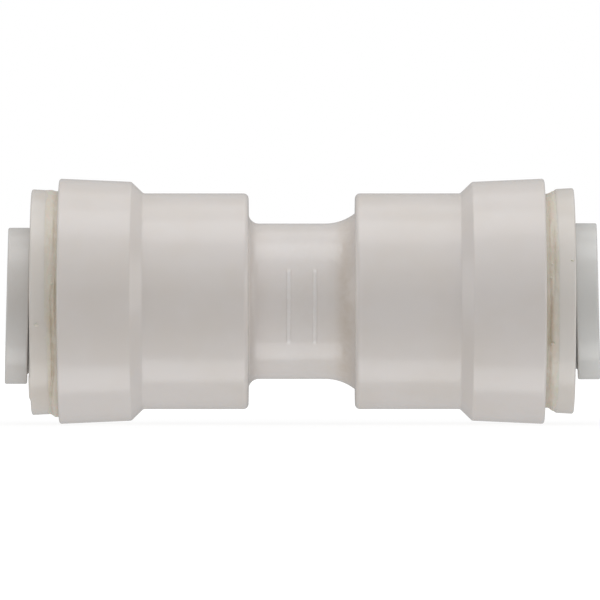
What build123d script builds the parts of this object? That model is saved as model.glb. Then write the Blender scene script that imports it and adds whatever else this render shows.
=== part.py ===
from build123d import *
import os
from math import sqrt

# An equal straight push-fit coupling for 10 mm tube: a moulded body with a stepped socket at each
# end. Each socket holds an O-ring, a spacer washer, and a sliding collet with steel grip teeth,
# behind an end cap that is welded into the mouth.
#
# X runs along the tube, Z is up, and the origin is the middle of the coupling on the tube's axis.
# Lengths are in millimetres. A station is a distance from the middle along the axis, and both ends
# share the same stations, so every profile is drawn once as (station, radius) and revolved.

# ---- Driving dimensions

tube_dia = 10.0
tube_clearance = 0.1            # radial, between the tube and its socket
overall_length = 51.7
collet_gap = 0.2                # between a collet's flange and its cap, with the collet pushed in

# Outside of the body
waist_dia = 13.6
barrel_dia = 18.88
band_dia_inner = 20.9           # the band widens a little towards the mouth
band_dia_mouth = 21.46
shoulder_station = 4.65
chamfer_start = 13.85
chamfer_end = 14.9
mouth_station = 21.2
shoulder_rise = 0.9             # how far the waist's root radius climbs the shoulder
root_radius = {1: 4.2, -1: 0.9}     # the waist flares gently at one end and sharply at the other

# Inside of the body
stop_half_width = 1.13
waterway_dia = 8.0
seal_seat = 7.6
chamber_dia = 14.4
counterbore_station = 15.0
counterbore_dia = 18.0
socket_lead_in = 0.4

# Stop marks on the waist
rib_width = 0.2
rib_height = 0.1
rib_arc = 56.0
rib_centre_turn = 95.0          # just below the middle of the front

# End cap
weld_gap = 0.03                 # radial, between the cap's spigot and the counterbore
neck_dia = 18.66
rim_dia = 19.78
rim_width = 1.8
throat_dia = 12.6
taper_start = 15.6
taper_slope = 0.28              # radius lost per millimetre towards the mouth

# Collet
collet_clearance = 0.15         # radial, between the tube and the collet's bore
sleeve_dia = 11.8
head_dia = 13.8
flange_dia = 13.66
flange_width = 1.95
collet_tip = 12.6
head_nose = 0.6                 # length of the nose chamfer on the finger heads
head_land = 1.0                 # length of the full-diameter land behind it
slot_root = 20.2
slot_width = 0.9
finger_count = 6

# Grip teeth, one in each finger
tooth_tip_radius = 4.92
tooth_station = 13.6
tooth_thickness = 0.36
tooth_lean = 0.57               # how far the edge leans towards the middle of the coupling
tooth_root_radius = 6.3
tooth_bevel = 0.2
tooth_arc = 30.0

# O-ring and spacer washer
ring_section = 2.3
ring_inner_dia = 9.76
ring_station = 9.0
spacer_station = 10.4
spacer_width = 1.1
spacer_inner_dia = 10.5
spacer_fit = 0.03               # radial, between the washer and the chamber

# ---- Worked-out sizes

socket_radius = tube_dia / 2 + tube_clearance
collet_bore = tube_dia / 2 + collet_clearance
flange_face = overall_length / 2
flange_back = flange_face - flange_width
rim_face = flange_back - collet_gap
rim_back = rim_face - rim_width
taper_end = taper_start + (chamber_dia - throat_dia) / 2 / taper_slope
head_taper_start = collet_tip + head_nose + head_land
head_taper_end = head_taper_start + (head_dia - sleeve_dia) / 2 / taper_slope
finger_angle = 360.0 / finger_count


def profile_plane(side, turn=0.0):
    """The plane of (station, radius) for one end, turned about X from upright."""
    upright = Plane(origin=(0, 0, 0), x_dir=(side, 0, 0), z_dir=(0, -side, 0))
    return upright.rotated((turn, 0, 0))


def slot_plane(side, turn):
    """The plane through the axis that faces outwards at a turn, for cutting one slot."""
    return Plane(origin=(0, 0, 0), x_dir=(side, 0, 0), z_dir=profile_plane(side, turn).y_dir)


def tooth_outline():
    """A blade in (station, radius), bevelled to an edge that leans the way the tube goes in."""
    root_station = tooth_station + tooth_lean
    return [
        (tooth_station, tooth_tip_radius),
        (tooth_station + tooth_thickness, tooth_tip_radius + tooth_bevel),
        (root_station + tooth_thickness, tooth_root_radius),
        (root_station, tooth_root_radius),
    ]


os.makedirs("parts", exist_ok=True)

# ---- Body

with BuildPart() as body:
    for side in (1, -1):
        # The root arc leaves the waist along the axis and meets the shoulder's face.
        root_length = sqrt(2 * root_radius[side] * shoulder_rise - shoulder_rise**2)
        root_start = (shoulder_station - root_length, waist_dia / 2)
        root_end = (shoulder_station, waist_dia / 2 + shoulder_rise)
        with BuildSketch(profile_plane(side)):
            with BuildLine():
                Polyline((0, waterway_dia / 2), (0, waist_dia / 2), root_start)
                TangentArc(root_start, root_end, tangent=(1, 0))
                FilletPolyline(
                    root_end,
                    (shoulder_station, barrel_dia / 2),
                    (chamfer_start, barrel_dia / 2),
                    (chamfer_end, band_dia_inner / 2),
                    (mouth_station, band_dia_mouth / 2),
                    (mouth_station, counterbore_dia / 2),
                    (counterbore_station, counterbore_dia / 2),
                    (counterbore_station, chamber_dia / 2),
                    (seal_seat, chamber_dia / 2),
                    (seal_seat, socket_radius + socket_lead_in),
                    (seal_seat - socket_lead_in, socket_radius),
                    (stop_half_width, socket_radius),
                    (stop_half_width, waterway_dia / 2),
                    (0, waterway_dia / 2),
                    radius=[0.45, 0.3, 0.25, 0.22, 0, 0, 0, 0.2, 0, 0, 0, 0.15],
                )
            make_face()
        revolve(axis=Axis.X)
        # One stop mark: a thin raised rib over the face of the tube stop inside.
        with BuildSketch(profile_plane(side, rib_centre_turn - rib_arc / 2)):
            with Locations((stop_half_width, waist_dia / 2)):
                Rectangle(rib_width, 2 * rib_height)
        revolve(axis=Axis.X, revolution_arc=rib_arc)
body.part.label = "body"
export_step(body.part, "parts/body.step")

for side, hand in ((-1, "left"), (1, "right")):

    # ---- End cap: spigot in the counterbore, neck, rim, and the taper that closes the fingers

    with BuildPart() as end_cap:
        with BuildSketch(profile_plane(side)):
            with BuildLine():
                FilletPolyline(
                    (counterbore_station + 0.1, chamber_dia / 2),
                    (counterbore_station + 0.1, counterbore_dia / 2 - weld_gap),
                    (mouth_station, counterbore_dia / 2 - weld_gap),
                    (mouth_station, neck_dia / 2),
                    (rim_back, neck_dia / 2),
                    (rim_back, rim_dia / 2 - 0.1),
                    (rim_face, rim_dia / 2),
                    (rim_face, throat_dia / 2),
                    (taper_end, throat_dia / 2),
                    (taper_start, chamber_dia / 2),
                    radius=[0, 0.3, 0, 0, 0, 0.45, 0.2, 0.3, 0.8, 0],
                    close=True,
                )
            make_face()
        revolve(axis=Axis.X)
    end_cap.part.label = f"{hand}_end_cap"
    export_step(end_cap.part, f"parts/{hand}_end_cap.step")

    # ---- Collet: flange, sleeve and slotted fingers whose heads ride the cap's taper

    with BuildPart() as collet:
        with BuildSketch(profile_plane(side)):
            with BuildLine():
                FilletPolyline(
                    (collet_tip, collet_bore),
                    (collet_tip, head_dia / 2 - head_nose),
                    (collet_tip + head_nose, head_dia / 2),
                    (head_taper_start, head_dia / 2),
                    (head_taper_end, sleeve_dia / 2),
                    (flange_back, sleeve_dia / 2),
                    (flange_back, flange_dia / 2),
                    (flange_face, flange_dia / 2),
                    (flange_face, collet_bore),
                    radius=[0.2, 0.1, 0.1, 0.1, 1.0, 0.15, 0.15, 0.15, 0.5],
                    close=True,
                )
            make_face()
        revolve(axis=Axis.X)
        for finger in range(finger_count):
            with BuildSketch(slot_plane(side, (finger + 0.5) * finger_angle)):
                with Locations(((slot_root + collet_tip - 1) / 2, 0)):
                    SlotOverall(slot_root - collet_tip + 1, slot_width)
            extrude(amount=head_dia, mode=Mode.SUBTRACT)
            with BuildSketch(profile_plane(side, finger * finger_angle - tooth_arc / 2)):
                with BuildLine():
                    Polyline(tooth_outline(), close=True)
                make_face()
            revolve(axis=Axis.X, revolution_arc=tooth_arc, mode=Mode.SUBTRACT)
    collet.part.label = f"{hand}_collet"
    export_step(collet.part, f"parts/{hand}_collet.step")

    # ---- Grip teeth

    for finger in range(finger_count):
        with BuildPart() as grip_tooth:
            with BuildSketch(profile_plane(side, finger * finger_angle - tooth_arc / 2)):
                with BuildLine():
                    Polyline(tooth_outline(), close=True)
                make_face()
            revolve(axis=Axis.X, revolution_arc=tooth_arc)
        grip_tooth.part.label = f"{hand}_grip_tooth_{finger + 1}"
        export_step(grip_tooth.part, f"parts/{hand}_grip_tooth_{finger + 1}.step")

    # ---- O-ring

    with BuildPart() as o_ring:
        with BuildSketch(profile_plane(side)):
            with Locations((ring_station, (ring_inner_dia + ring_section) / 2)):
                Circle(ring_section / 2)
        revolve(axis=Axis.X)
    o_ring.part.label = f"{hand}_o_ring"
    export_step(o_ring.part, f"parts/{hand}_o_ring.step")

    # ---- Spacer washer

    with BuildPart() as spacer_washer:
        with BuildSketch(profile_plane(side)):
            with BuildLine():
                FilletPolyline(
                    (spacer_station, spacer_inner_dia / 2),
                    (spacer_station, chamber_dia / 2 - spacer_fit),
                    (spacer_station + spacer_width, chamber_dia / 2 - spacer_fit),
                    (spacer_station + spacer_width, spacer_inner_dia / 2),
                    radius=0.2,
                    close=True,
                )
            make_face()
        revolve(axis=Axis.X)
    spacer_washer.part.label = f"{hand}_spacer_washer"
    export_step(spacer_washer.part, f"parts/{hand}_spacer_washer.step")
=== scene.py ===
import math

import bmesh
import bpy
from mathutils import Matrix, Vector, noise


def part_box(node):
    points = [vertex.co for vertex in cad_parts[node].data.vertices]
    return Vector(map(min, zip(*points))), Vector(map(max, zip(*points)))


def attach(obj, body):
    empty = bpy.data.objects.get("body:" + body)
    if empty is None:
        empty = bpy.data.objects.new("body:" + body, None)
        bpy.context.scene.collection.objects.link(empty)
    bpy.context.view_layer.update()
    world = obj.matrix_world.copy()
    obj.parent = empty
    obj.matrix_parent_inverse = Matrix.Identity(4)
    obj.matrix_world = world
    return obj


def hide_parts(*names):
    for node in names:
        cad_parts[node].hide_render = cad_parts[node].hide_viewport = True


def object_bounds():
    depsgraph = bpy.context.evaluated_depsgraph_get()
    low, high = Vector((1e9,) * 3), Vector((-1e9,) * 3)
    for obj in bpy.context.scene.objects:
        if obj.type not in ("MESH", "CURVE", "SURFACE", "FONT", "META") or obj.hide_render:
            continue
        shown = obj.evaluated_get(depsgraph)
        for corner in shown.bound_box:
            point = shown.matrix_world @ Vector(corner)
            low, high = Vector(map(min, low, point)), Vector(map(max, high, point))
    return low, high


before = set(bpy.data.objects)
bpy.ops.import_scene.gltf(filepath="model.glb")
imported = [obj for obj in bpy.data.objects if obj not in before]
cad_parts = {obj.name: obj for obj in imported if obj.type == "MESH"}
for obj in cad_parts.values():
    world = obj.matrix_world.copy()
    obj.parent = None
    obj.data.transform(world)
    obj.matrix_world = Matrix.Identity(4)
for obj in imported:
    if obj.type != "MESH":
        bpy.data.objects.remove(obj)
cad_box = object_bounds()

# ---- Sizes, in millimetres. A station is a distance from the middle along the tube's axis, and an
# angle goes round that axis from 0 at the front, with 90 at the top.

MM = 0.001


def reach(node, axis):
    """How far a CAD node reaches from the middle along an axis, in millimetres."""
    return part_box(node)[1][axis] / MM


# Body
MOUTH_STATION = reach("body", 0)
BAND_MOUTH_RADIUS = reach("body", 2)
BAND_INNER_RADIUS = 10.45
BARREL_RADIUS = 9.44
WAIST_RADIUS = 6.8
SHOULDER_STATION = 4.65
CHAMFER_STATIONS = (13.85, 14.9)
SHOULDER_RISE = 0.9
ROOT_RADIUS = {"right": 4.2, "left": 0.9}
STOP_STATION = 1.13
WATERWAY_RADIUS = 4.0
SOCKET_RADIUS = 5.1
SEAL_SEAT = 7.6
SEAT_CHAMFER = 0.4
CHAMBER_RADIUS = 7.2
COUNTERBORE_STATION = 15.0
COUNTERBORE_RADIUS = 9.0
RIB_WIDTH = 0.4
RIB_HEIGHT = 0.08
RIB_ANGLES = (-32.0, 23.0)
# Tones are shares of a material's darker tone. The waist is paler than the body, and the ribs'
# crests carry a painted highlight, so theirs are taken off.
RIB_HIGHLIGHT = 0.15
WAIST_PALENESS = 0.1
WAIST_FADE = (1.6, 4.2)
# The waist's roots carry painted shade, warm in cast, strongest on the right and towards the front.
RIGHT_ROOT_SHADE = (0.2, 0.16)       # all round, and more towards the front
RIGHT_ROOT_REACH = (0.95, 0.95)     # back from the shoulder, and the half width
LEFT_ROOT_SHADE = 0.12
LEFT_ROOT_REACH = (0.3, 0.3)
ROOT_SHADE_TURN = math.radians(8)         # the right root is darkest this far below the front
# The mouths' faces carry partly a brown weld tint and partly painted shade, darkest deep in the
# groove.
MOUTH_SCORCH_AND_SHADE = 0.35

# End cap
CAP_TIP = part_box("right_end_cap")[0][0] / MM
RIM_FACE = reach("right_end_cap", 0)
RIM_RADIUS = reach("right_end_cap", 2)
RIM_WIDTH = 1.8
# How far each cap's rim stands out from its CAD place, and how far up.
CAP_SEATING = {"left": (-0.1, -0.08), "right": (0.06, 0.03)}
# The left cap's burr: its height, and the degrees where it starts and ends.
BURR_HEIGHT = 0.12
BURR_START = (297, 302)
BURR_END = (316, 324)
# The darker tone beside the groove, partly a brown weld tint and partly painted shade, and the
# stations where it fades out.
CAP_SCORCH_AND_SHADE = 0.14
CAP_SCORCH_AND_SHADE_FADE = (21.9, 22.7)
NECK_RADIUS = 9.33
SPIGOT_RADIUS = 8.97
THROAT_RADIUS = 6.3
TAPER_START = 15.6
TAPER_END = 18.81

# Collet
COLLET_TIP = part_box("right_collet")[0][0] / MM
FLANGE_FACE = reach("right_collet", 0)
HEAD_RADIUS = reach("right_collet", 2)
FLANGE_WIDTH = 1.95
FLANGE_RADIUS = 6.83
SLEEVE_RADIUS = 5.9
COLLET_BORE = 5.15
HEAD_TAPER = (14.2, 17.77)
SLOT_ROOT = 20.2
SLOT_WIDTH = 0.9
FINGER_COUNT = 6
# Each collet sits loose in its cap. For each: the shift outwards, the flange's drop, its tip, and
# the angle of the side that tips in to the cap's face.
LOOSE_FIT = {
    "left": (-0.03, 0.4, math.radians(2.0), math.radians(42.0)),
    "right": (0.1, 0.0, math.radians(1.95), math.radians(45.0)),
}

# How much of the darker tone each collet shows: the left one looks a little darker and pinker.
COLLET_TONE = {"left": 0.2, "right": 0.0}

# Grip teeth
TOOTH_EDGE = (13.6, 4.92)
TOOTH_ROOT = (14.17, 6.3)
TOOTH_THICKNESS = 0.36
TOOTH_BEVEL = 0.2
TOOTH_ARC = math.radians(30.0)
TOOTH_ROUNDING = 0.03

# Spacer washer
WASHER_BORE = 5.25
WASHER_ROUNDING = 0.2

# Mesh fineness
TURN_STEPS = 288
SEAL_STEPS = 192
SEAL_SECTION_STEPS = 44
FLASH_STEPS = 540
FLASH_COLUMNS = 44
TOOTH_STEPS = 12
ARC_STEP = math.radians(9.0)
SUPPORT = 0.05          # a loop this close beside each rounded corner keeps the flats flat
SMOOTH_ANGLE = math.radians(32.0)
BEVEL_ANGLE = math.radians(25)

HANDS = {"left": -1, "right": 1}


# ---- Shapes

def rounded(corners):
    """Makes a closed outline of (station, radius, rounding) rows, with arcs at rounded corners."""
    outline = []
    for i, (station, radius, rounding) in enumerate(corners):
        here = Vector((station, radius))
        if rounding == 0:
            outline.append(here)
            continue
        back = Vector(corners[i - 1][:2]) - here
        onward = Vector(corners[(i + 1) % len(corners)][:2]) - here
        half = back.angle(onward) / 2
        tangent_length = rounding / math.tan(half)
        inwards = (back.normalized() + onward.normalized()).normalized()
        centre = here + inwards * rounding / math.sin(half)
        start = here + back.normalized() * tangent_length
        turn = math.pi - 2 * half
        if back.cross(onward) > 0:
            turn = -turn
        steps = max(3, math.ceil(abs(turn) / ARC_STEP))
        if back.length > tangent_length + 2 * SUPPORT:
            outline.append(here + back.normalized() * (tangent_length + SUPPORT))
        for k in range(steps + 1):
            outline.append(centre + Matrix.Rotation(turn * k / steps, 2) @ (start - centre))
        if onward.length > tangent_length + 2 * SUPPORT:
            outline.append(here + onward.normalized() * (tangent_length + SUPPORT))
    return outline


def place(station, radius, angle):
    """The point at a station, radius and angle, in metres."""
    return Vector((station, -radius * math.cos(angle), radius * math.sin(angle))) * MM


def whole_turn(steps=TURN_STEPS):
    return [2 * math.pi * k / steps for k in range(steps)]


def add_ring(mesh, outline, angles, shape=None, shade_and_tone=None):
    """Turns a closed outline about the tube's axis.

    shape may move each point a little. The last argument says how much of its material's darker tone
    a point shows, from 0 to 1, or below 0 for paler; that tone holds painted shade and a painted
    highlight as well as real tints.
    """
    tone_and_shade = mesh.verts.layers.float.get("tone_and_shade") or mesh.verts.layers.float.new("tone_and_shade")
    rings = []
    for angle in angles:
        ring = []
        for s, r in outline:
            station, radius = shape(s, r, angle) if shape else (s, r)
            vertex = mesh.verts.new(place(station, radius, angle))
            if shade_and_tone:
                vertex[tone_and_shade] = shade_and_tone(station, radius, angle)
            ring.append(vertex)
        rings.append(ring)
    for j, ring in enumerate(rings):
        after = rings[(j + 1) % len(rings)]
        for i in range(len(outline)):
            k = (i + 1) % len(outline)
            mesh.faces.new((ring[i], ring[k], after[k], after[i]))


def finish_piece(mesh, name, body, material, node=None):
    """Makes the object from its mesh, gives it its finish, and fixes it to its CAD body."""
    bmesh.ops.recalc_face_normals(mesh, faces=mesh.faces)
    data = bpy.data.meshes.new(name)
    mesh.to_mesh(data)
    mesh.free()
    for face in data.polygons:
        face.use_smooth = True
    data.set_sharp_from_angle(angle=SMOOTH_ANGLE)
    data.materials.append(material)
    piece = bpy.data.objects.new(name, data)
    bpy.context.scene.collection.objects.link(piece)
    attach(piece, body)
    if node:
        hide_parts(node)


def ease(value, low, high):
    """0 below low, 1 above high, and smooth between them."""
    t = min(1.0, max(0.0, (value - low) / (high - low)))
    return t * t * (3 - 2 * t)


def hump(value, middle, half_width):
    """1 at the middle, falling smoothly to nearly 0 two half-widths away."""
    return math.exp(-(((value - middle) / half_width) ** 2))


def round_table(rows, angle):
    """Reads rows of (degrees, value, ...) that go right round the axis, smoothly between rows."""
    degrees = math.degrees(angle) % 360
    rows = [(row[0] % 360, *row[1:]) for row in rows]
    rows.sort()
    rows = [(rows[-1][0] - 360, *rows[-1][1:])] + rows + [(rows[0][0] + 360, *rows[0][1:])]
    for before, after in zip(rows, rows[1:]):
        if before[0] <= degrees <= after[0]:
            t = ease(degrees, before[0], after[0])
            return [a + (b - a) * t for a, b in zip(before[1:], after[1:])]


# ---- Body moulding

def half_body_corners(hand):
    """One end's corners: out along the outside from the middle, and back inside to the middle."""
    root = ROOT_RADIUS[hand]
    sweep = math.acos(1 - SHOULDER_RISE / root)
    root_start = SHOULDER_STATION - root * math.sin(sweep)
    steps = math.ceil(sweep / math.radians(5.0))
    # Close loops across the rib carry its half-round section.
    rib_offsets = [RIB_WIDTH / 2 * math.sin(math.radians(a)) for a in range(-90, 91, 15)]
    waist = [(STOP_STATION + offset, WAIST_RADIUS, 0) for offset in rib_offsets]
    arc = [
        (
            root_start + root * math.sin(sweep * k / steps),
            WAIST_RADIUS + root * (1 - math.cos(sweep * k / steps)),
            0,
        )
        for k in range(steps + 1)
    ]
    chamfer_start, chamfer_end = CHAMFER_STATIONS
    outside = [
        (SHOULDER_STATION, BARREL_RADIUS, 0.45),
        (chamfer_start, BARREL_RADIUS, 0.3),
        (chamfer_end, BAND_INNER_RADIUS, 0.25),
        (MOUTH_STATION, BAND_MOUTH_RADIUS + 0.01, 0.22),
    ]
    inside = [
        (MOUTH_STATION, COUNTERBORE_RADIUS, 0),
        (COUNTERBORE_STATION, COUNTERBORE_RADIUS, 0),
        (COUNTERBORE_STATION, CHAMBER_RADIUS, 0),
        (SEAL_SEAT, CHAMBER_RADIUS, 0.2),
        (SEAL_SEAT, SOCKET_RADIUS + SEAT_CHAMFER, 0),
        (SEAL_SEAT - SEAT_CHAMFER, SOCKET_RADIUS, 0),
        (STOP_STATION, SOCKET_RADIUS, 0),
        (STOP_STATION, WATERWAY_RADIUS, 0.15),
    ]
    return [(0, WAIST_RADIUS, 0)] + waist + arc + outside + inside + [(0, WATERWAY_RADIUS, 0)]


def stop_rib(station, radius, angle):
    """Raises the two thin ribs that mark the tube stop's faces, on the front of the waist."""
    across = abs(abs(station) - STOP_STATION) / (RIB_WIDTH / 2)
    if across >= 1 or radius < WAIST_RADIUS - 0.01:
        return station, radius
    degrees = math.degrees(angle)
    if degrees > 180:
        degrees -= 360
    low, high = RIB_ANGLES
    along = ease(degrees, low - 1.5, low + 1.5) * (1 - ease(degrees, high - 1.5, high + 1.5))
    return station, radius + RIB_HEIGHT * math.sqrt(1 - across**2) * along


def body_shade_and_tone(station, radius, angle):
    """Painted shade in the waist's roots, a weld tint with painted shade on the mouths' faces, a
    paler waist, and a painted highlight on the ribs' crests.
    """
    back, half_width = RIGHT_ROOT_REACH
    all_round, to_front = RIGHT_ROOT_SHADE
    root = all_round + to_front * math.cos(angle + ROOT_SHADE_TURN)
    root *= hump(station, SHOULDER_STATION - back, half_width)
    back, half_width = LEFT_ROOT_REACH
    root += LEFT_ROOT_SHADE * hump(station, -SHOULDER_STATION + back, half_width)
    root *= 1 - ease(radius, BARREL_RADIUS - 1.2, BARREL_RADIUS - 0.4)
    mouth = ease(abs(station), MOUTH_STATION - 0.05, MOUTH_STATION)
    mouth *= 1 - ease(radius, BAND_MOUTH_RADIUS - 0.6, BAND_MOUTH_RADIUS - 0.2)
    waist = 1 - ease(abs(station), *WAIST_FADE)
    crest_highlight = ease(radius, WAIST_RADIUS, WAIST_RADIUS + RIB_HEIGHT) * waist
    return min(1.0, root + MOUTH_SCORCH_AND_SHADE * mouth) - WAIST_PALENESS * waist - RIB_HIGHLIGHT * crest_highlight


def make_body(material):
    right = half_body_corners("right")
    left = [(-s, r, rounding) for s, r, rounding in half_body_corners("left")]
    corners = right + left[-2:0:-1]
    mesh = bmesh.new()
    add_ring(mesh, rounded(corners), whole_turn(), stop_rib, body_shade_and_tone)
    finish_piece(mesh, "body_moulding", "coupling_body", material, "body")


# ---- End caps

def cap_scorch_and_shade(station, radius, angle):
    """A brown weld tint with painted shade beside the groove, fading over the rim's back edge."""
    beside = 1 - ease(abs(station), *CAP_SCORCH_AND_SHADE_FADE)
    return CAP_SCORCH_AND_SHADE * beside * ease(radius, NECK_RADIUS - 0.1, NECK_RADIUS)


def make_end_cap(hand, material):
    side = HANDS[hand]
    rim_back = RIM_FACE - RIM_WIDTH
    corners = [
        (CAP_TIP, CHAMBER_RADIUS, 0),
        (CAP_TIP, SPIGOT_RADIUS, 0.3),
        (MOUTH_STATION, SPIGOT_RADIUS, 0),
        (MOUTH_STATION, NECK_RADIUS, 0),
        (rim_back, NECK_RADIUS, 0.05),
        (rim_back, RIM_RADIUS - 0.1, 0.42),
        (RIM_FACE, RIM_RADIUS, 0.18),
        (RIM_FACE, THROAT_RADIUS, 0.3),
        (TAPER_END, THROAT_RADIUS, 0.8),
        (TAPER_START, CHAMBER_RADIUS, 0),
    ]

    outwards, up = CAP_SEATING[hand]

    def seated(station, radius, angle):
        """Moves the rim to its own depth and height. The left one's edge has a burr."""
        outside = ease(station, MOUTH_STATION, rim_back)
        burr = 0.0
        if hand == "left":
            degrees = math.degrees(angle) % 360
            outward = ease(station, RIM_FACE - 0.5, RIM_FACE - 0.1)
            outward *= ease(radius, THROAT_RADIUS + 2, RIM_RADIUS - 0.5)
            burr = BURR_HEIGHT * (ease(degrees, *BURR_START) - ease(degrees, *BURR_END)) * outward
        station += outwards * outside + burr
        height = radius * math.sin(angle) + up * outside
        front = radius * math.cos(angle)
        return side * station, math.hypot(front, height)

    mesh = bmesh.new()
    add_ring(mesh, rounded(corners), whole_turn(), seated, cap_scorch_and_shade)
    node = f"{hand}_end_cap"
    finish_piece(mesh, f"{hand}_cap_ring", "coupling_body", material, node)


# ---- Collets

def loose_fit(hand, station, radius, angle):
    """Places a point of a collet: the flange drops and tips, and the fingers stay centred."""
    shift, drop, tip, meeting_angle = LOOSE_FIT[hand]
    height = radius * math.sin(angle) - drop * ease(station, HEAD_TAPER[1] - 2, RIM_FACE)
    front = radius * math.cos(angle)
    lean = math.tan(tip) * radius * math.cos(angle - meeting_angle)
    outward = (shift - lean) * ease(station, SLOT_ROOT, RIM_FACE)
    station = HANDS[hand] * (station + outward)
    return place(station, math.hypot(front, height), math.atan2(height, front))


def make_collet(hand, material):
    flange_back = FLANGE_FACE - FLANGE_WIDTH
    taper_start, taper_end = HEAD_TAPER
    # The outline starts at the slot's root in the bore, so the finger's part of it comes first.
    corners = [
        (SLOT_ROOT, COLLET_BORE, 0),
        (COLLET_TIP, COLLET_BORE, 0.2),
        (COLLET_TIP, HEAD_RADIUS - 0.6, 0.1),
        (COLLET_TIP + 0.6, HEAD_RADIUS, 0.1),
        (taper_start, HEAD_RADIUS, 0.1),
        (taper_end, SLEEVE_RADIUS, 1.0),
        (SLOT_ROOT, SLEEVE_RADIUS, 0),
        (flange_back, SLEEVE_RADIUS, 0.15),
        (flange_back, FLANGE_RADIUS, 0.15),
        (FLANGE_FACE, FLANGE_RADIUS, 0.15),
        (FLANGE_FACE, COLLET_BORE, 0.5),
    ]
    outline = rounded(corners)
    outer_root = max(i for i, p in enumerate(outline) if p.x <= SLOT_ROOT + 1e-6)

    # Columns round the axis: a slot's edges are columns, with a few between them for its round end.
    finger_columns, slot_columns = 44, 6
    slot_half = SLOT_WIDTH / 2 / SLEEVE_RADIUS
    pitch = 2 * math.pi / FINGER_COUNT
    columns = []
    for finger in range(FINGER_COUNT):
        # The fingers stand at the top and every 60 degrees from there.
        slot_centre = math.pi / 2 + (finger - 0.5) * pitch
        for k in range(slot_columns):
            columns.append((slot_centre - slot_half + 2 * slot_half * k / slot_columns, True, k))
        finger_arc = pitch - 2 * slot_half
        for k in range(finger_columns):
            columns.append((slot_centre + slot_half + finger_arc * k / finger_columns, False, k))

    mesh = bmesh.new()
    tone = mesh.verts.layers.float.new("tone_and_shade")
    rings = []
    for angle, in_slot, k in columns:
        inside_slot = in_slot and k > 0
        ring = {}
        for i, (s, r) in enumerate(outline):
            if inside_slot and 0 < i < outer_root:
                continue
            if inside_slot and i in (0, outer_root):
                across = 2 * k / slot_columns - 1
                s = s + SLOT_WIDTH / 2 * math.sqrt(1 - across**2)
            ring[i] = mesh.verts.new(loose_fit(hand, s, r, angle))
            ring[i][tone] = COLLET_TONE[hand]
        rings.append(ring)
    for j, (angle, in_slot, k) in enumerate(columns):
        ring, after = rings[j], rings[(j + 1) % len(rings)]
        for i in range(len(outline)):
            onward = (i + 1) % len(outline)
            if in_slot and i < outer_root:
                continue
            mesh.faces.new((ring[i], ring[onward], after[onward], after[i]))
        if in_slot:
            mesh.faces.new((ring[0], ring[outer_root], after[outer_root], after[0]))
        if k == 0:
            mesh.faces.new([ring[i] for i in range(outer_root + 1)])
    node = f"{hand}_collet"
    finish_piece(mesh, f"{hand}_collet_moulding", node, material, node)


# ---- Grip teeth

def make_grip_tooth(hand, number, material):
    side = HANDS[hand]
    edge_station, edge_radius = TOOTH_EDGE
    root_station, root_radius = TOOTH_ROOT
    outline = [
        (edge_station, edge_radius),
        (edge_station + TOOTH_THICKNESS, edge_radius + TOOTH_BEVEL),
        (root_station + TOOTH_THICKNESS, root_radius),
        (root_station, root_radius),
    ]
    centre = math.pi / 2 + side * (number - 1) * 2 * math.pi / FINGER_COUNT
    mesh = bmesh.new()
    rows = []
    for k in range(TOOTH_STEPS + 1):
        angle = centre + TOOTH_ARC * (k / TOOTH_STEPS - 0.5)
        rows.append([mesh.verts.new(place(side * s, r, angle)) for s, r in outline])
    for row, after in zip(rows, rows[1:]):
        for i in range(len(outline)):
            k = (i + 1) % len(outline)
            mesh.faces.new((row[i], row[k], after[k], after[i]))
    mesh.faces.new(rows[0])
    mesh.faces.new(rows[-1])
    bmesh.ops.recalc_face_normals(mesh, faces=mesh.faces)
    corners = [e for e in mesh.edges if e.calc_face_angle(0) > BEVEL_ANGLE]
    bmesh.ops.bevel(
        mesh, geom=corners, offset=TOOTH_ROUNDING * MM, segments=2, profile=0.5, affect="EDGES"
    )
    finish_piece(
        mesh,
        f"{hand}_steel_tooth_{number}",
        f"{hand}_collet",
        material,
        f"{hand}_grip_tooth_{number}",
    )


# ---- Seals and washers

def make_o_ring(hand, material):
    node = f"{hand}_o_ring"
    low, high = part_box(node)
    section = (high.x - low.x) / 2 / MM
    middle = (high.x + low.x) / 2 / MM
    line_radius = high.z / MM - section
    steps = SEAL_SECTION_STEPS
    outline = [
        (
            middle + section * math.cos(2 * math.pi * k / steps),
            line_radius + section * math.sin(2 * math.pi * k / steps),
        )
        for k in range(steps)
    ]
    mesh = bmesh.new()
    add_ring(mesh, outline, whole_turn(SEAL_STEPS))
    finish_piece(mesh, f"{hand}_seal_ring", "coupling_body", material, node)


def make_washer(hand, material):
    node = f"{hand}_spacer_washer"
    low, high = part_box(node)
    corners = [
        (low.x / MM, WASHER_BORE, WASHER_ROUNDING),
        (low.x / MM, high.z / MM, WASHER_ROUNDING),
        (high.x / MM, high.z / MM, WASHER_ROUNDING),
        (high.x / MM, WASHER_BORE, WASHER_ROUNDING),
    ]
    mesh = bmesh.new()
    add_ring(mesh, rounded(corners), whole_turn(SEAL_STEPS))
    finish_piece(mesh, f"{hand}_washer_ring", "coupling_body", material, node)


# ---- Weld flash: the plastic that the weld squeezed out into the groove between cap and band

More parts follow.
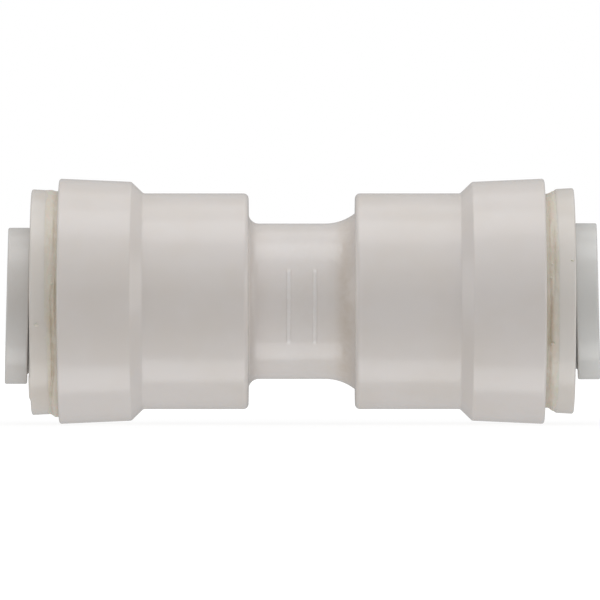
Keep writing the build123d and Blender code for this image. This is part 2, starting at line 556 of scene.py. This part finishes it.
# Rows right round the axis of (degrees, value, ...).
# fill: the flash's radius against the band and against the rim.
# cracks: where an open crack runs, how deep and how wide it is.
# lumps: how uneven the surface is, and crumbs: (station, radius, degrees, size).
FLASH = {
    "left": {
        "fill": [
            (90, 9.66, 9.74), (70, 9.74, 9.76), (48, 9.86, 9.8), (30, 9.92, 9.82),
            (0, 9.96, 9.82), (-35, 9.92, 9.82), (-60, 9.92, 9.8), (-80, 10.1, 9.86),
            (-90, 10.12, 9.88), (-120, 9.95, 9.8), (180, 9.6, 9.7), (120, 9.62, 9.72),
        ],
        "cracks": [
            [
                (90, 21.36, 0.03, 0.2), (62, 21.4, 0.06, 0.22), (35, 21.42, 0.09, 0.2),
                (14, 21.5, 0.06, 0.16), (8, 21.6, 0.07, 0.14), (0, 21.72, 0.12, 0.1),
                (-10, 21.68, 0.15, 0.11), (-30, 21.6, 0.15, 0.13), (-42, 21.62, 0.16, 0.12),
                (-50, 21.76, 0.14, 0.11), (-62, 21.88, 0.06, 0.1), (-90, 21.9, 0.01, 0.1),
                (180, 21.5, 0.12, 0.14), (130, 21.4, 0.07, 0.14),
            ],
            [
                (24, 21.32, 0.0, 0.08), (10, 21.32, 0.09, 0.08), (0, 21.32, 0.1, 0.08),
                (-10, 21.32, 0.06, 0.08), (-18, 21.32, 0.0, 0.08), (180, 21.32, 0.0, 0.08),
            ],
        ],
        "lumps": 0.035,
        "crumbs": [
            (22.95, 9.79, -12, 0.26), (21.62, 9.9, 9, 0.13), (21.66, 9.9, 13, 0.1),
        ],
    },
    "right": {
        "fill": [
            (90, 9.42, 9.64), (60, 9.62, 9.74), (30, 9.84, 9.8), (12, 9.88, 9.82), (0, 9.8, 9.8),
            (-30, 9.78, 9.8), (-60, 9.58, 9.76), (-90, 9.32, 9.6), (180, 9.34, 9.6),
        ],
        "cracks": [
            [
                (90, 21.4, 0.02, 0.16), (40, 21.4, 0.06, 0.14), (18, 21.42, 0.06, 0.14),
                (6, 21.5, 0.07, 0.12), (0, 21.56, 0.12, 0.13), (-10, 21.52, 0.16, 0.15),
                (-20, 21.48, 0.16, 0.15), (-26, 21.44, 0.07, 0.15), (-45, 21.44, 0.06, 0.17),
                (-90, 21.4, 0.02, 0.16), (180, 21.42, 0.06, 0.14),
            ],
            [
                (50, 21.86, 0.0, 0.1), (38, 21.86, 0.06, 0.1), (24, 21.9, 0.07, 0.1),
                (12, 21.86, 0.06, 0.1), (0, 21.8, 0.0, 0.1), (180, 21.86, 0.0, 0.1),
            ],
        ],
        "lumps": 0.04,
        "crumbs": [
            (21.74, 9.86, -22, 0.18), (23.45, 9.82, 21, 0.2), (21.6, 9.86, 12, 0.15),
            (21.68, 9.88, 19, 0.12),
        ],
    },
}
FLASH_START = MOUTH_STATION - 0.06
FLASH_END = 22.3
FLASH_FLOOR = NECK_RADIUS - 0.22
FLASH_FADE = 22.0       # here the flash's radius is the one against the rim
# How dark the flash is: a brown scorch everywhere, painted shade along a crack for each millimetre
# of its depth, and how wide that band of painted shade is.
FLASH_TONE = 0.12
CRACK_SHADE = 3.0
CRACK_SHADE_WIDTH = 0.3


def flash_height(hand, station, angle):
    """The flash's radius, and how dark it is: its scorch, with painted shade along the cracks, at a
    station and angle.
    """
    flash = FLASH[hand]
    near_band, near_rim = round_table(flash["fill"], angle)
    radius = near_band + (near_rim - near_band) * ease(station, MOUTH_STATION + 0.3, FLASH_FADE)
    scorch_and_shade = FLASH_TONE
    for rows in flash["cracks"]:
        middle, depth, half_width = round_table(rows, angle)
        radius -= depth * hump(station, middle, half_width)
        # Painted shade along the crack, darker where the crack is deeper.
        scorch_and_shade += CRACK_SHADE * depth * hump(station, middle, CRACK_SHADE_WIDTH)
    return radius, min(1.0, scorch_and_shade)


def make_weld_flash(hand, material):
    side = HANDS[hand]
    flash = FLASH[hand]
    seed = Vector((7.3 * side, 1.7, 4.1))

    def squeezed(station, radius, angle):
        if radius <= FLASH_FLOOR:
            return side * station, radius
        height = flash_height(hand, station, angle)[0]
        way = Vector((station * 1.5, math.cos(angle) * 9, math.sin(angle) * 9))
        lump = noise.noise(way * 1.1 + seed) + 0.5 * noise.noise(way * 3.1 + seed)
        return side * station, max(FLASH_FLOOR + 0.02, height + flash["lumps"] * lump)

    def scorched_and_shaded(station, radius, angle):
        return flash_height(hand, abs(station), angle)[1]

    top = [
        (FLASH_START + (FLASH_END - FLASH_START) * k / FLASH_COLUMNS, NECK_RADIUS)
        for k in range(FLASH_COLUMNS + 1)
    ]
    outline = [(FLASH_END, FLASH_FLOOR), (FLASH_START, FLASH_FLOOR)] + top
    mesh = bmesh.new()
    add_ring(mesh, outline, whole_turn(FLASH_STEPS), squeezed, scorched_and_shaded)
    for number, (station, radius, degrees, size) in enumerate(flash["crumbs"]):
        centre = place(side * station, radius, math.radians(degrees))
        made = bmesh.ops.create_icosphere(mesh, subdivisions=3, radius=size * MM)
        for vertex in made["verts"]:
            way = vertex.co.normalized()
            swell = 1 + 0.35 * noise.noise(way * 1.6 + seed * (number + 1))
            squashed = Vector((vertex.co.x * 0.9, vertex.co.y * 0.6, vertex.co.z * 0.6))
            vertex.co = squashed * swell + centre
    finish_piece(mesh, f"{hand}_weld_flash", "coupling_body", material)


# ---- Materials

def linear(code):
    """An sRGB hex colour as linear RGBA."""
    channels = [int(code[i : i + 2], 16) / 255 for i in (0, 2, 4)]
    return [c / 12.92 if c <= 0.04045 else ((c + 0.055) / 1.055) ** 2.4 for c in channels] + [1.0]


def add_node(tree, kind, values=None, links=None, **settings):
    """Adds a node, sets its settings and input values, and links its inputs."""
    node = tree.nodes.new(kind)
    for key, value in settings.items():
        setattr(node, key, value)
    for key, value in (values or {}).items():
        node.inputs[key].default_value = value
    for key, socket in (links or {}).items():
        tree.links.new(socket, node.inputs[key])
    return node


def new_material(name):
    material = bpy.data.materials.new(name)
    material.use_nodes = True
    material.node_tree.nodes.clear()
    return material, material.node_tree


# How much smoother and rougher than its mean the moulded skin gets in patches.
SMOOTHER = 0.03
ROUGHER = 0.04


# Acetal, injection moulded and pigmented off-white: a dense, slightly waxy plastic. The mould was
# spark-eroded and lightly polished, which gives an even satin skin with a soft broad highlight.
# The eye sees faint clouds in the pigment and a few rub marks.
def moulded_acetal(name, colour, cloud_colour, darker_tone_colour, roughness, seed):
    material, tree = new_material(name)
    coords = add_node(tree, "ShaderNodeTexCoord").outputs["Object"]
    shifted = add_node(
        tree, "ShaderNodeVectorMath", {1: (seed, 2 * seed, 3 * seed)}, {0: coords}, operation="ADD"
    ).outputs[0]

    # Pigment clouds about 7 mm across.
    clouds = add_node(
        tree,
        "ShaderNodeTexNoise",
        {"Scale": 1 / (7 * MM), "Detail": 3.0, "Roughness": 0.55},
        {"Vector": shifted},
    )
    cloud_share = add_node(
        tree,
        "ShaderNodeMapRange",
        {"From Min": 0.35, "From Max": 0.7, "To Min": 0.0, "To Max": 1.0},
        {"Value": clouds.outputs["Fac"]},
        interpolation_type="SMOOTHSTEP",
    )
    clouded = add_node(
        tree,
        "ShaderNodeMix",
        {"A": linear(colour), "B": linear(cloud_colour)},
        {"Factor": cloud_share.outputs[0]},
        data_type="RGBA",
    )

    # The darker tone that the mesh asks for, broken up by a fine speckle. It is painted shade in the
    # body's roots, a weld tint with painted shade by the groove, and a plain tone on a collet. Below
    # 0 it makes the surface paler, which paints the highlight on the ribs' crests.
    tone_and_shade = add_node(tree, "ShaderNodeAttribute", attribute_name="tone_and_shade")
    speckle = add_node(
        tree,
        "ShaderNodeTexNoise",
        {"Scale": 1 / (0.5 * MM), "Detail": 2.0},
        {"Vector": shifted},
    )
    patchy = add_node(
        tree,
        "ShaderNodeMapRange",
        {"From Min": 0.3, "From Max": 0.7, "To Min": 0.6, "To Max": 1.0},
        {"Value": speckle.outputs["Fac"]},
    )
    darker_tone_share = add_node(
        tree,
        "ShaderNodeMath",
        {},
        {0: tone_and_shade.outputs["Fac"], 1: patchy.outputs[0]},
        operation="MULTIPLY",
    )
    darker_toned = add_node(
        tree,
        "ShaderNodeMix",
        {"B": linear(darker_tone_colour)},
        {"Factor": darker_tone_share.outputs[0], "A": clouded.outputs["Result"]},
        data_type="RGBA",
        clamp_factor=False,
    )

    # The satin skin of the mould. Real spark-eroded grit is about 0.03 mm, too fine to show, so it
    # is drawn at 0.15 mm. Under it lies the slow waviness of a cooled moulding, about 5 mm long.
    grit = add_node(
        tree,
        "ShaderNodeTexNoise",
        {"Scale": 1 / (0.15 * MM), "Detail": 2.0, "Roughness": 0.5},
        {"Vector": shifted},
    )
    waves = add_node(
        tree,
        "ShaderNodeTexNoise",
        {"Scale": 1 / (5 * MM), "Detail": 1.0, "Roughness": 0.4},
        {"Vector": shifted},
    )
    wave_bump = add_node(
        tree,
        "ShaderNodeBump",
        {"Strength": 1.0, "Distance": 0.02 * MM},
        {"Height": waves.outputs["Fac"]},
    )
    skin_bump = add_node(
        tree,
        "ShaderNodeBump",
        {"Strength": 0.6, "Distance": 0.003 * MM},
        {"Height": grit.outputs["Fac"], "Normal": wave_bump.outputs["Normal"]},
    )

    # Handling rubs the satin a little smoother in patches.
    rub = add_node(
        tree,
        "ShaderNodeTexNoise",
        {"Scale": 1 / (2.5 * MM), "Detail": 4.0, "Roughness": 0.65},
        {"Vector": shifted},
    )
    satin = add_node(
        tree,
        "ShaderNodeMapRange",
        {
            "From Min": 0.3,
            "From Max": 0.7,
            "To Min": roughness - SMOOTHER,
            "To Max": roughness + ROUGHER,
        },
        {"Value": rub.outputs["Fac"]},
    )
    shader = add_node(
        tree,
        "ShaderNodeBsdfPrincipled",
        {
            "IOR": 1.48,
            "Subsurface Weight": 0.15,
            "Subsurface Radius": (1.0, 0.85, 0.7),
            "Subsurface Scale": 0.6 * MM,
        },
        {
            "Base Color": darker_toned.outputs["Result"],
            "Roughness": satin.outputs[0],
            "Normal": skin_bump.outputs["Normal"],
        },
    )
    add_node(tree, "ShaderNodeOutputMaterial", {}, {"Surface": shader.outputs[0]})
    return material


# Weld flash: the same acetal, melted and squeezed out, so it is glossy, lumpy and a little scorched.
# Its cracks carry painted shade.
def melted_acetal(name, colour, scorch_and_shade_colour):
    material, tree = new_material(name)
    coords = add_node(tree, "ShaderNodeTexCoord").outputs["Object"]
    blotches = add_node(
        tree,
        "ShaderNodeTexNoise",
        {"Scale": 1 / (0.8 * MM), "Detail": 3.0, "Roughness": 0.6},
        {"Vector": coords},
    )
    patchy = add_node(
        tree,
        "ShaderNodeMapRange",
        {"From Min": 0.38, "From Max": 0.62, "To Min": 0.55, "To Max": 1.0},
        {"Value": blotches.outputs["Fac"]},
        interpolation_type="SMOOTHSTEP",
    )
    tone_and_shade = add_node(tree, "ShaderNodeAttribute", attribute_name="tone_and_shade")
    share = add_node(
        tree,
        "ShaderNodeMath",
        {},
        {0: tone_and_shade.outputs["Fac"], 1: patchy.outputs[0]},
        operation="MULTIPLY",
    )
    tone = add_node(
        tree,
        "ShaderNodeMix",
        {"A": linear(colour), "B": linear(scorch_and_shade_colour)},
        {"Factor": share.outputs[0]},
        data_type="RGBA",
    )
    beads = add_node(
        tree, "ShaderNodeTexNoise", {"Scale": 1 / (0.25 * MM), "Detail": 2.0}, {"Vector": coords}
    )
    bump = add_node(
        tree,
        "ShaderNodeBump",
        {"Strength": 0.8, "Distance": 0.02 * MM},
        {"Height": beads.outputs["Fac"]},
    )
    shader = add_node(
        tree,
        "ShaderNodeBsdfPrincipled",
        {"Roughness": 0.32, "IOR": 1.48, "Subsurface Weight": 0.2, "Subsurface Scale": 0.5 * MM},
        {"Base Color": tone.outputs["Result"], "Normal": bump.outputs["Normal"]},
    )
    add_node(tree, "ShaderNodeOutputMaterial", {}, {"Surface": shader.outputs[0]})
    return material


# Stainless steel strip, stamped: bright cut faces with fine rolling lines along the strip.
def stamped_stainless():
    material, tree = new_material("stamped_stainless_steel")
    coords = add_node(tree, "ShaderNodeTexCoord").outputs["Object"]
    stretched = add_node(tree, "ShaderNodeMapping", {"Scale": (12.0, 1.0, 1.0)}, {"Vector": coords})
    lines = add_node(
        tree,
        "ShaderNodeTexNoise",
        {"Scale": 1 / (0.6 * MM), "Detail": 3.0},
        {"Vector": stretched.outputs[0]},
    )
    sheen = add_node(
        tree,
        "ShaderNodeMapRange",
        {"From Min": 0.3, "From Max": 0.7, "To Min": 0.22, "To Max": 0.4},
        {"Value": lines.outputs["Fac"]},
    )
    tone = add_node(
        tree,
        "ShaderNodeMix",
        {"A": linear("b9b7b2"), "B": linear("cfcecb")},
        {"Factor": lines.outputs["Fac"]},
        data_type="RGBA",
    )
    bump = add_node(
        tree,
        "ShaderNodeBump",
        {"Strength": 0.4, "Distance": 0.004 * MM},
        {"Height": lines.outputs["Fac"]},
    )
    shader = add_node(
        tree,
        "ShaderNodeBsdfPrincipled",
        {"Metallic": 1.0},
        {
            "Base Color": tone.outputs["Result"],
            "Roughness": sheen.outputs[0],
            "Normal": bump.outputs["Normal"],
        },
    )
    add_node(tree, "ShaderNodeOutputMaterial", {}, {"Surface": shader.outputs[0]})
    return material


# EPDM rubber, compression moulded: near black with a dull skin and a faint grey bloom.
def seal_rubber():
    material, tree = new_material("epdm_seal_rubber")
    coords = add_node(tree, "ShaderNodeTexCoord").outputs["Object"]
    bloom = add_node(
        tree,
        "ShaderNodeTexNoise",
        {"Scale": 1 / (1.5 * MM), "Detail": 4.0, "Roughness": 0.6},
        {"Vector": coords},
    )
    share = add_node(
        tree,
        "ShaderNodeMapRange",
        {"From Min": 0.45, "From Max": 0.8, "To Min": 0.0, "To Max": 1.0},
        {"Value": bloom.outputs["Fac"]},
    )
    tone = add_node(
        tree,
        "ShaderNodeMix",
        {"A": linear("1b1b1c"), "B": linear("343433")},
        {"Factor": share.outputs[0]},
        data_type="RGBA",
    )
    dull = add_node(
        tree,
        "ShaderNodeMapRange",
        {"To Min": 0.42, "To Max": 0.6},
        {"Value": bloom.outputs["Fac"]},
    )
    skin = add_node(
        tree, "ShaderNodeTexNoise", {"Scale": 1 / (0.12 * MM), "Detail": 2.0}, {"Vector": coords}
    )
    bump = add_node(
        tree,
        "ShaderNodeBump",
        {"Strength": 0.5, "Distance": 0.004 * MM},
        {"Height": skin.outputs["Fac"]},
    )
    shader = add_node(
        tree,
        "ShaderNodeBsdfPrincipled",
        {"IOR": 1.52},
        {
            "Base Color": tone.outputs["Result"],
            "Roughness": dull.outputs[0],
            "Normal": bump.outputs["Normal"],
        },
    )
    add_node(tree, "ShaderNodeOutputMaterial", {}, {"Surface": shader.outputs[0]})
    return material


# ---- Making the pieces

body_acetal = moulded_acetal("moulded_acetal_body", "e5dfdb", "e2dbd5", "b8a386", 0.2, 0.011)
cap_acetal = moulded_acetal("moulded_acetal_cap", "e4dfd9", "e0d9d1", "b8a386", 0.22, 0.023)
collet_acetal = moulded_acetal("moulded_acetal_collet", "dddddb", "dad9d6", "cfbdb2", 0.22, 0.037)
washer_acetal = moulded_acetal("moulded_acetal_washer", "d2d1cd", "cdcbc6", "b3a995", 0.4, 0.051)
flash_acetal = melted_acetal("melted_acetal_flash", "dfd8cc", "bca98c")
tooth_steel = stamped_stainless()
rubber = seal_rubber()

make_body(body_acetal)
for hand in HANDS:
    make_end_cap(hand, cap_acetal)
    make_weld_flash(hand, flash_acetal)
    make_collet(hand, collet_acetal)
    for number in range(1, FINGER_COUNT + 1):
        make_grip_tooth(hand, number, tooth_steel)
    make_o_ring(hand, rubber)
    make_washer(hand, washer_acetal)


# ---- Table, world and lights

# A plain pale floor. Only the camera sees it, so the soft lights below it reach the object.
TABLE_SIDE = 3.0
TABLE_GLOW = 1.0
SHADOW_GLOW = 0.86
SHADOW_REACH = (0.02, 0.12)

table_mesh = bmesh.new()
table_level = cad_box[0].z - 0.02 * MM
table_corners = [
    table_mesh.verts.new((x * TABLE_SIDE / 2, y * TABLE_SIDE / 2, table_level))
    for x, y in ((-1, -1), (1, -1), (1, 1), (-1, 1))
]
table_mesh.faces.new(table_corners)
table_data = bpy.data.meshes.new("light_table")
table_mesh.to_mesh(table_data)
table_mesh.free()
table = bpy.data.objects.new("light_table", table_data)
bpy.context.scene.collection.objects.link(table)
table.visible_diffuse = False
table.visible_glossy = False
table.visible_transmission = False
table.visible_shadow = False


# Opal acrylic that glows. It glows a little less close to the object, to deepen its shadow.
def opal_acrylic():
    material, tree = new_material("opal_acrylic")
    coords = add_node(tree, "ShaderNodeTexCoord").outputs["Object"]
    length = add_node(tree, "ShaderNodeVectorMath", {}, {0: coords}, operation="LENGTH")
    low, high = SHADOW_REACH
    glow = add_node(
        tree,
        "ShaderNodeMapRange",
        {"From Min": low, "From Max": high, "To Min": SHADOW_GLOW, "To Max": TABLE_GLOW},
        {"Value": length.outputs["Value"]},
        interpolation_type="SMOOTHSTEP",
    )
    white = add_node(
        tree,
        "ShaderNodeBsdfPrincipled",
        {"Base Color": linear("5a5a5a"), "Roughness": 0.9, "Emission Color": linear("ffffff")},
        {"Emission Strength": glow.outputs[0]},
    )
    add_node(tree, "ShaderNodeOutputMaterial", {}, {"Surface": white.outputs[0]})
    return material


table_data.materials.append(opal_acrylic())

# White studio: the camera sees it at full white, and it gives the object a weaker fill.
WORLD_FILL = 0.377
world = bpy.data.worlds.new("white_studio")
bpy.context.scene.world = world
world.use_nodes = True
world.node_tree.nodes.clear()
white = linear("ffffff")
seen = add_node(world.node_tree, "ShaderNodeBackground", {"Color": white, "Strength": 1.0})
fill = add_node(world.node_tree, "ShaderNodeBackground", {"Color": white, "Strength": WORLD_FILL})
path = add_node(world.node_tree, "ShaderNodeLightPath")
studio = add_node(
    world.node_tree,
    "ShaderNodeMixShader",
    {},
    {0: path.outputs["Is Camera Ray"], 1: fill.outputs[0], 2: seen.outputs[0]},
)
add_node(world.node_tree, "ShaderNodeOutputWorld", {}, {"Surface": studio.outputs[0]})

# Softboxes above the table and below it, each with its bearing along the tube, its elevation, its
# distance, width, height and watts.
SOFTBOXES = [
    ("overhead_softbox", 0, 80, 0.6, 0.70, 0.32, 1.34),
    ("rear_softbox", 0, 110, 0.6, 0.70, 0.32, 0.43),
    ("under_softbox", 0, -80, 0.6, 0.70, 0.32, 1.35),
    ("under_front_softbox", 0, -50, 0.6, 0.70, 0.32, 0.26),
    ("front_softbox", 0, 25, 0.6, 0.70, 0.21, 0.19),
    ("upper_front_softbox", 0, 50, 0.6, 0.16, 0.32, 0.15),
    ("left_softbox", -75, 10, 0.6, 0.45, 0.30, 0.36),
    ("right_softbox", 75, 10, 0.6, 0.45, 0.30, 0.58),
]


def add_softbox(name, bearing, elevation, distance, width, height, watts):
    lamp = bpy.data.lights.new(name, "AREA")
    lamp.shape = "RECTANGLE"
    lamp.size = width
    lamp.size_y = height
    lamp.energy = watts
    softbox = bpy.data.objects.new(name, lamp)
    bpy.context.scene.collection.objects.link(softbox)
    turn, rise = math.radians(bearing), math.radians(elevation)
    across = math.cos(rise)
    away = Vector((math.sin(turn) * across, -math.cos(turn) * across, math.sin(rise)))
    softbox.location = away * distance
    softbox.rotation_euler = (math.pi / 2 - rise, 0, turn)
    softbox.visible_camera = False


for row in SOFTBOXES:
    add_softbox(*row)


# ---- Camera

# Level with the tube and square on to the front.
CAMERA_DISTANCE = 0.85
FRAME_WIDTH = 52.5 * MM
camera_data = bpy.data.cameras.new("front_camera")
camera_data.sensor_width = 36.0
camera_data.lens = camera_data.sensor_width * CAMERA_DISTANCE / FRAME_WIDTH
camera = bpy.data.objects.new("front_camera", camera_data)
camera.location = (-0.15 * MM, -CAMERA_DISTANCE, 0.11 * MM)
camera.rotation_euler = (math.pi / 2, 0, 0)
camera_data.clip_start = 0.01
camera_data.clip_end = 10.0
bpy.context.scene.collection.objects.link(camera)
bpy.context.scene.camera = camera
bpy.context.scene.view_settings.view_transform = "Standard"
